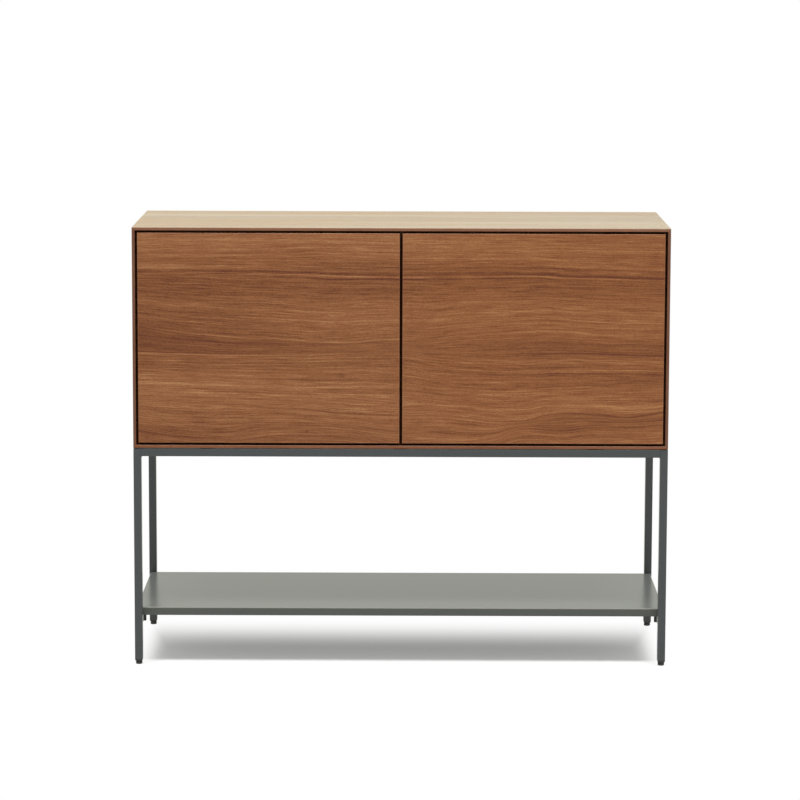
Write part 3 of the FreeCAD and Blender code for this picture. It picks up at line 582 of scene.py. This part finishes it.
def carcass_walnut(name, along, across, lipping_tones, **settings):
    """A walnut panel with a lipping of its own colour, painted shade nearly black in the rebate, and a
    painted lit strip on the right.
    """
    wood = walnut(name, along, across, **settings)
    x, y, z = wood.split(wood.place())
    veneer = wood.colour_so_far()
    stretched = wood.vector(*(wood.times(part, scale) for part, scale in zip((x, y, z), LIPPING_GRAIN)))
    dark, light = (opaque(under_lacquer(tone)) for tone in lipping_tones)
    lipping = wood.mix(wood.noise(stretched, detail=RICH), dark, light)
    behind_lipping = wood.past(y, TOP_LOW.y, BEHIND_LIPPING)
    colour = wood.mix(behind_lipping, lipping, veneer)
    middle = (DOOR_LOW.z + DOOR_HIGH.z) / 2
    inside_sides = wood.past(wood.absolute(x), TOP_HIGH.x, REBATE_INSIDE)
    inside_levels = wood.past(wood.absolute(wood.minus(z, middle)), TOP_HIGH.z - middle, REBATE_INSIDE)
    before_shoulder = wood.past(y, TOP_LOW.y, REBATE_SHOULDER)
    inside = wood.times(inside_sides, inside_levels)
    # Painted shade in the rebate behind the lipping
    rebate_shade = wood.times(inside, wood.times(behind_lipping, before_shoulder))
    # Painted light: the lit strip inside the right lip
    lit_strip = wood.times(wood.past(x, TOP_HIGH.x, LIT_STRIP_INSIDE), wood.past(y, TOP_LOW.y, LIT_STRIP_DEPTH))
    paint_gap_shade(wood, rebate_shade, colour, wood.mix(lit_strip, painted_gap_shade(wood, veneer), opaque(srgb(*PAINTED_LIT_STRIP))))
    return wood


def top_walnut():
    """The top's veneer, painted lighter for part of its glare, whose waxed lacquer glows pale when seen
    along it, in streaks of its own.
    """
    # Painted light: the top's veneer is lightened for part of its pale glare
    wood = carcass_walnut("walnut_top", "x", "y", TOP_LIPPING, seed=3.1, contrast=TOP_CONTRAST,
                          lighter=TOP_PAINTED_GLARE)
    x, y, z = wood.split(wood.place())
    streaks = 0.0
    for stretch, fineness in TOP_STREAKS:
        streaks = wood.sway(streaks, wood.drawn_noise(x, y, z, stretch, fineness), 1.0)
    wood.set("Roughness", wood.span(streaks, *TOP_STREAK_RANGE, *TOP_ROUGHNESS))
    wood.set("IOR", TOP_IOR)
    wood.haze(TOP_HAZE_WEIGHT, TOP_HAZE_ROUGHNESS, TOP_HAZE)
    return wood


def divider_walnut():
    """The centre divider, whose front edge has painted shade because it shows through the gap."""
    wood = walnut("walnut_divider", "z", "y", seed=6.4, banded=True)
    y = wood.split(wood.place())[1]
    veneer = wood.colour_so_far()
    # Painted shade on the divider's front edge, seen in the gap
    paint_gap_shade(wood, wood.past(y, TOP_LOW.y, DIVIDER_SHADE_DEPTH), veneer, painted_gap_shade(wood, veneer))
    return wood


# The doors: one sheet of veneer across both

def flow_height(wood, x_mm, z_mm):
    """
    The grain's own height: which line of the grain a place lies on. It changes evenly from guide to guide,
    and below the lowest guide it falls as the real height does.
    """
    place = wood.span(x_mm, -GRAIN_WIDTH / 2, GRAIN_WIDTH / 2)
    flow = float(GUIDES[0][0])
    above = None
    for level, points in GUIDES:
        stops = [(0.5 + x / GRAIN_WIDTH, 0.5 + rise / GUIDE_SPAN) for x, rise in points]
        height = wood.math("MULTIPLY_ADD", wood.curve(place, stops), GUIDE_SPAN, level - GUIDE_SPAN / 2)
        if above is not None:
            step = wood.span(z_mm, above[1], height, 0.0, level - above[0])
            flow = wood.plus(flow, step)
        above = (level, height)
    below_lowest = wood.math("MINIMUM", wood.minus(z_mm, above[1]), 0.0)
    return wood.plus(flow, below_lowest)


def tone_curve(wood, flow_mm, points):
    """How light the wood is along the grain's height."""
    height = wood.span(flow_mm, 0.0, GRAIN_HEIGHT)
    return wood.curve(height, [(level / GRAIN_HEIGHT, tone) for level, tone in points])


def grain_line(wood, tone, x_mm, flow_mm, level, half_width, reach, strength):
    """One soft line of the grain, faded in and out unless it runs past the doors' edges."""
    off = wood.absolute(wood.minus(flow_mm, level))
    inner = max(half_width - LINE_SOFT_INSIDE, half_width * LINE_CORE)
    mask = wood.span(off, inner, half_width + LINE_SOFT_OUTSIDE, strength, 0.0, smooth=True)
    start, full_start, full_end, end = reach
    if full_start > -GRAIN_WIDTH / 2:
        mask = wood.times(mask, wood.span(x_mm, start, full_start, smooth=True))
    if full_end < GRAIN_WIDTH / 2:
        mask = wood.times(mask, wood.span(x_mm, end, full_end, smooth=True))
    return wood.plus(tone, mask)


def fleck(wood, tone, x_mm, z_mm, x, z, half_length, half_height):
    """One small dark fleck."""
    across = wood.times(wood.minus(x_mm, x), 1 / half_length)
    up = wood.times(wood.minus(z_mm, z), 1 / half_height)
    away = wood.root_of_squares(across, up)
    return wood.plus(tone, wood.span(away, *FLECK_RANGE, FLECK_TONE, 0.0, smooth=True))


def door_tone(wood, x_mm, z_mm, flow_mm, depth):
    """The tones along the grain's height, which change across the doors, with the lines and flecks."""
    drift_mm = wood.sway(x_mm, wood.drawn_noise(x_mm, flow_mm, depth, *DRIFT_SCALES, SMOOTH), DRIFT)
    left = tone_curve(wood, flow_mm, LEFT_TONE)
    middle = tone_curve(wood, flow_mm, MIDDLE_TONE)
    right = tone_curve(wood, flow_mm, RIGHT_TONE)
    tone = wood.blend(wood.span(drift_mm, *LEFT_TO_MIDDLE, smooth=True), left, middle)
    tone = wood.blend(wood.span(drift_mm, *MIDDLE_TO_RIGHT, smooth=True), tone, right)
    for line in GRAIN_LINES:
        tone = grain_line(wood, tone, x_mm, flow_mm, *line)
    for spot in FLECKS:
        tone = fleck(wood, tone, x_mm, z_mm, *spot)
    return tone


def rim(wood, x, z, distances):
    """A mask along the rims of both doors."""
    middle = (RIGHT_DOOR_LOW.x + RIGHT_DOOR_HIGH.x) / 2
    half_width = (RIGHT_DOOR_HIGH.x - RIGHT_DOOR_LOW.x) / 2
    across = wood.absolute(wood.minus(wood.absolute(x), middle))
    half_height = (DOOR_HIGH.z - DOOR_LOW.z) / 2
    up = wood.absolute(wood.minus(z, (DOOR_LOW.z + DOOR_HIGH.z) / 2))
    return wood.greater(wood.past(across, half_width, distances), wood.past(up, half_height, distances))


def door_walnut():
    """The doors' veneer, whose grain runs on from the left door to the right one."""
    wood = Surface("walnut_doors")
    x, y, z = wood.split(wood.place())
    x_mm = wood.times(x, MM_PER_METRE)
    z_mm = wood.times(wood.minus(z, DOOR_LOW.z), MM_PER_METRE)
    flow_mm = wood.sway(flow_height(wood, x_mm, z_mm), wood.drawn_noise(x, z, y, *WANDER_SCALES), WANDER)
    tone = door_tone(wood, x_mm, z_mm, flow_mm, y)
    colour = finish_wood(wood, tone, x, wood.times(flow_mm, 1 / MM_PER_METRE), y)
    tint = wood.mix(wood.span(x, *RIGHT_DOOR_TINT_ACROSS, smooth=True), WHITE, opaque(RIGHT_DOOR_TINT))
    colour = wood.tinted(colour, tint)
    # Painted highlight along the doors' front arris
    arris_highlight = wood.times(rim(wood, x, z, ARRIS_HIGHLIGHT_RIM), wood.past(y, DOOR_LOW.y, ARRIS_HIGHLIGHT_DEPTH))
    colour = wood.mix(wood.times(arris_highlight, ARRIS_HIGHLIGHT_STRENGTH), colour, opaque(under_lacquer(ARRIS_HIGHLIGHT_COLOUR)))
    # Painted shade on the doors' edges, so the gaps read dark
    edge_shade = wood.times(rim(wood, x, z, EDGE_SHADE_RIM), wood.past(y, DOOR_LOW.y, EDGE_SHADE_DEPTH))
    paint_gap_shade(wood, edge_shade, colour, painted_gap_shade(wood, colour))
    return wood


# Metal, plastic and rubber

def powder_coat(name, colour, roughness):
    """Matt fine-textured powder coat on steel."""
    coat = Surface(name)
    place = coat.place()
    cloud = coat.noise(place, COAT_CLOUD_SCALE, RICH)
    grit = coat.noise(place, COAT_GRIT_SCALE)
    coat.mottle(colour, COAT_MOTTLE, coat.plus(coat.times(grit, 0.5), coat.times(cloud, 0.5)))
    coat.set("Roughness", coat.span(grit, *NOISE_RANGE, *roughness))
    coat.set("IOR", COAT_IOR)
    coat.bump(grit, COAT_GRIT_DEPTH, COAT_BUMP)
    return coat


def shelf_paint():
    """The shelf's coat, which glows when seen along it and has a painted highlight on the front bend."""
    coat = powder_coat("shelf_paint", SHELF_COLOUR, SHELF_ROUGHNESS)
    coat.set("Specular IOR Level", SHELF_SPECULAR)
    coat.haze(SHELF_HAZE_WEIGHT, SHELF_HAZE_ROUGHNESS, SHELF_HAZE)
    x, y, z = coat.split(coat.place())
    # Painted highlight on the front bend
    bend_highlight = coat.times(coat.past(z, SHELF_HIGH.z, BEND_HIGHLIGHT_BELOW_TOP), coat.past(y, SHELF_LOW.y, BEND_HIGHLIGHT_DEPTH))
    coat.set("Base Color", coat.mix(bend_highlight, coat.colour_so_far(), opaque(BEND_HIGHLIGHT_COLOUR)))
    return coat


def plated_steel():
    """Nickel-plated pressed steel."""
    steel = Surface("plated_steel")
    place = steel.place()
    cloud = steel.noise(place, STEEL_CLOUD_SCALE, RICH)
    stretched = steel.add("ShaderNodeMapping", {"Vector": place, "Scale": STEEL_BRUSHING}).outputs[0]
    brushing = steel.noise(stretched)
    steel.set("Base Color", steel.mix(cloud, *map(opaque, STEEL_COLOURS)))
    steel.set("Roughness", steel.span(brushing, *NOISE_RANGE, *STEEL_ROUGHNESS))
    steel.set("Metallic", 1.0)
    return steel


def moulded_plastic(name, colour, roughness):
    """Moulded plastic with a fine spark-eroded grain."""
    plastic = Surface(name)
    place = plastic.place()
    grain = plastic.noise(place, PLASTIC_GRAIN_SCALE)
    plastic.mottle(colour, PLASTIC_MOTTLE, plastic.noise(place, PLASTIC_CLOUD_SCALE))
    smoothest = roughness - PLASTIC_ROUGHNESS_SWING
    roughest = roughness + PLASTIC_ROUGHNESS_SWING
    plastic.set("Roughness", plastic.span(grain, *NOISE_RANGE, smoothest, roughest))
    plastic.bump(grain, PLASTIC_GRAIN_DEPTH, PLASTIC_BUMP)
    return plastic


def clear_rubber():
    """Cloudy translucent rubber."""
    rubber = Surface("clear_rubber")
    cloud = rubber.noise(rubber.place(), RUBBER_CLOUD_SCALE)
    rubber.set("Base Color", rubber.mix(cloud, *map(opaque, RUBBER_COLOURS)))
    rubber.set("Roughness", rubber.span(cloud, *NOISE_RANGE, *RUBBER_ROUGHNESS))
    rubber.set("Transmission Weight", RUBBER_CLEARNESS)
    return rubber


# The materials of the CAD nodes

def dress_cabinet():
    dress(door_walnut(), "left_door", "right_door")
    dress(top_walnut(), "top_panel")
    dress(carcass_walnut("walnut_bottom", "x", "y", TOP_LIPPING, seed=7.3), "bottom_panel")
    sides = carcass_walnut("walnut_sides", "z", "y", SIDE_LIPPING, seed=5.7)
    dress(sides, "left_side_panel", "right_side_panel")
    dress(divider_walnut(), "centre_divider")
    shelves = walnut("walnut_shelves", "x", "y", seed=9.9, banded=True)
    dress(shelves, "left_inner_shelf", "right_inner_shelf")
    dress(walnut("walnut_back", "x", "z", seed=12.4, tint=BACK_TINT), "back_panel")


def dress_hardware():
    by_slot = {
        "frame_paint": powder_coat("frame_paint", FRAME_COLOUR, FRAME_ROUGHNESS),
        "bright_steel": plated_steel(),
        "black_plastic": moulded_plastic("black_plastic", BLACK_COLOUR, BLACK_ROUGHNESS),
        "grey_plastic": moulded_plastic("grey_plastic", GREY_COLOUR, GREY_ROUGHNESS),
        "clear_rubber": clear_rubber(),
    }
    for part in frame["record"]["subparts"]:
        if part["material_slot"] in by_slot:
            dress(by_slot[part["material_slot"]], part["node"])
    dress(shelf_paint(), "lower_shelf")


# Screw heads: a dark cross in each one that shows, painted shade that stands in for its recess

def middle_of(points):
    """The middle of the box round some points."""
    low = Vector([min(point[i] for point in points) for i in (X, Y, Z)])
    high = Vector([max(point[i] for point in points) for i in (X, Y, Z)])
    return low.lerp(high, 0.5)


def head_centres(name, axis, way, half):
    """
    The middles of a node's screw heads, whose flat faces look one way along an axis. Half is -1 or 1 for
    the heads left or right of the middle, and 0 for all of them.
    """
    points = [vertex.co for vertex in nodes[name].data.vertices if half * vertex.co.x >= 0]
    face = max(way * point[axis] for point in points) * way
    heads = []
    for point in points:
        if abs(point[axis] - face) > FLAT_WITHIN:
            continue
        for head in heads:
            if (point - head[0]).length < 2 * HEAD_RADIUS:
                head.append(point)
                break
        else:
            heads.append([point])
    return [middle_of(head) for head in heads]


def add_recess(shape, centre, axis, way):
    """A tapered cross on a screw head, which takes the painted shade of its recess."""
    normal = Vector([way if i == axis else 0 for i in (X, Y, Z)])
    across = Vector([1 if i == (axis + 1) % 3 else 0 for i in (X, Y, Z)])
    along = normal.cross(across)
    arm = ((RECESS_HALF_WIDTH, -RECESS_HALF_WIDTH), (RECESS_ARM, -RECESS_TIP), (RECESS_ARM, RECESS_TIP))
    outline = []
    for quarter in range(4):
        turn = Matrix.Rotation(math.radians(90 * quarter + 45), 2)
        outline += [turn @ Vector(corner) for corner in arm]
    rings = []
    for height in (RECESS_PROUD, -RECESS_DEPTH):
        base = centre + normal * height
        rings.append([shape.verts.new(base + across * x + along * y) for x, y in outline])
    upper, lower = rings
    shape.faces.new(upper)
    shape.faces.new(lower[::-1])
    for i, corner in enumerate(upper):
        after = (i + 1) % len(upper)
        shape.faces.new((corner, lower[i], lower[after], upper[after]))


def recesses(name, body, heads, surface):
    """One piece with the recesses of several screws that ride on one body."""
    shape = bmesh.new()
    for node, axis, way, half in heads:
        for centre in head_centres(node, axis, way, half):
            add_recess(shape, centre, axis, way)
    bmesh.ops.recalc_face_normals(shape, faces=shape.faces)
    mesh = bpy.data.meshes.new(name)
    shape.to_mesh(mesh)
    shape.free()
    mesh.materials.append(surface.material)
    piece = add_object(name, mesh)
    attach(piece, body)


def screw_recesses():
    # Painted shade: near-black crosses stand in for the shaded recesses
    dark = moulded_plastic("recess_shadow", RECESS_SHADE_COLOUR, RECESS_ROUGHNESS)
    heads = []
    for node in ("hinge_plate_screws", "hinge_arm_screws"):
        heads += [(node, X, 1, -1), (node, X, -1, 1)]
    for node in ("latch_screws", "cabinet_screws"):
        heads.append((node, Z, -1, 0))
    recesses("cabinet_screw_recesses", "cabinet", heads, dark)
    for side in ("left", "right"):
        heads = [(f"{side}_hinge_cup_screws", Y, 1, 0)]
        recesses(f"{side}_door_screw_recesses", f"{side}_door", heads, dark)


# Stage: floor, world, lamp and camera

def floor():
    """A white floor that takes the shadow and turns into plain white away from the object."""
    mesh = bpy.data.meshes.new("floor")
    corners = [(x * FLOOR_REACH, y * FLOOR_REACH, 0) for x, y in ((-1, -1), (1, -1), (1, 1), (-1, 1))]
    mesh.from_pydata(corners, [], [(0, 1, 2, 3)])
    thing = add_object("floor", mesh)
    material = bpy.data.materials.new("floor_white")
    material.use_nodes = True
    material.node_tree.nodes.clear()
    tree = Tree(material.node_tree)
    x, y, z = tree.split(tree.place())
    away = tree.span(tree.root_of_squares(x, y), *WHITE_FROM, smooth=True)
    away = tree.greater(away, tree.span(y, *WHITE_BEHIND, smooth=True))
    away = tree.greater(away, tree.span(tree.absolute(x), *WHITE_BESIDE, smooth=True))
    rays = tree.add("ShaderNodeLightPath").outputs
    seen = tree.greater(rays["Is Camera Ray"], rays["Is Glossy Ray"])
    matt = tree.add("ShaderNodeBsdfDiffuse", {"Color": opaque(FLOOR_WHITE)}).outputs[0]
    lifted = {"Color": opaque(LIFT_TINT), "Strength": tree.times(seen, SHADOW_LIFT)}
    lift = tree.add("ShaderNodeEmission", lifted).outputs[0]
    near = tree.add("ShaderNodeAddShader", {0: matt, 1: lift}).outputs[0]
    white = tree.mix(rays["Is Glossy Ray"], WHITE, opaque(MIRRORED_WHITE))
    plain = tree.add("ShaderNodeEmission", {"Color": white, "Strength": 1.0}).outputs[0]
    shade = tree.add("ShaderNodeMixShader", {0: tree.times(away, seen), 1: near, 2: plain}).outputs[0]
    tree.add("ShaderNodeOutputMaterial", {0: shade})
    mesh.materials.append(material)


def world():
    """A white studio: strength 1 where it is seen or mirrored, softer as light."""
    studio = bpy.data.worlds.new("studio")
    studio.use_nodes = True
    studio.node_tree.nodes.clear()
    tree = Tree(studio.node_tree)
    rays = tree.add("ShaderNodeLightPath").outputs
    seen = tree.greater(rays["Is Camera Ray"], rays["Is Glossy Ray"])
    seen = tree.greater(seen, rays["Is Transmission Ray"])
    x, y, z = tree.split(tree.add("ShaderNodeTexCoord").outputs["Generated"])
    ambient = tree.span(y, -1.0, 1.0, AMBIENT_FRONT, AMBIENT_BACK)
    white = tree.mix(rays["Is Glossy Ray"], WHITE, opaque(MIRRORED_WHITE))
    strength = tree.greater(ambient, seen)
    light = tree.add("ShaderNodeBackground", {"Color": white, "Strength": strength}).outputs[0]
    tree.add("ShaderNodeOutputWorld", {0: light})
    bpy.context.scene.world = studio


def key_lamp():
    """A wide soft strip in front of and above the object."""
    lamp = bpy.data.lights.new("key", "AREA")
    lamp.shape = "RECTANGLE"
    lamp.size, lamp.size_y = KEY_SIZE
    lamp.energy = KEY_WATTS
    rise = math.radians(KEY_ELEVATION_DEG)
    place = Vector((0.0, -KEY_DISTANCE * math.cos(rise), KEY_DISTANCE * math.sin(rise)))
    thing = add_object("key", lamp)
    thing.location = place
    thing.rotation_euler = (Vector(KEY_TARGET) - place).to_track_quat("-Z", "Y").to_euler()


def camera():
    data = bpy.data.cameras.new("camera")
    data.sensor_width = SENSOR_MM
    data.lens = FOCAL_PX / IMAGE_WIDTH_PX * SENSOR_MM
    data.shift_y = SHIFT_Y
    turn = (Matrix.Rotation(math.radians(YAW_DEG), 4, "Z")
            @ Matrix.Rotation(math.radians(90 - PITCH_DEG), 4, "X")
            @ Matrix.Rotation(math.radians(-ROLL_DEG), 4, "Z"))
    thing = add_object("camera", data)
    thing.matrix_world = Matrix.Translation(CAMERA_AT) @ turn
    bpy.context.scene.camera = thing


dress_cabinet()
dress_hardware()
screw_recesses()
floor()
world()
key_lamp()
camera()
bpy.context.scene.view_settings.view_transform = "Standard"
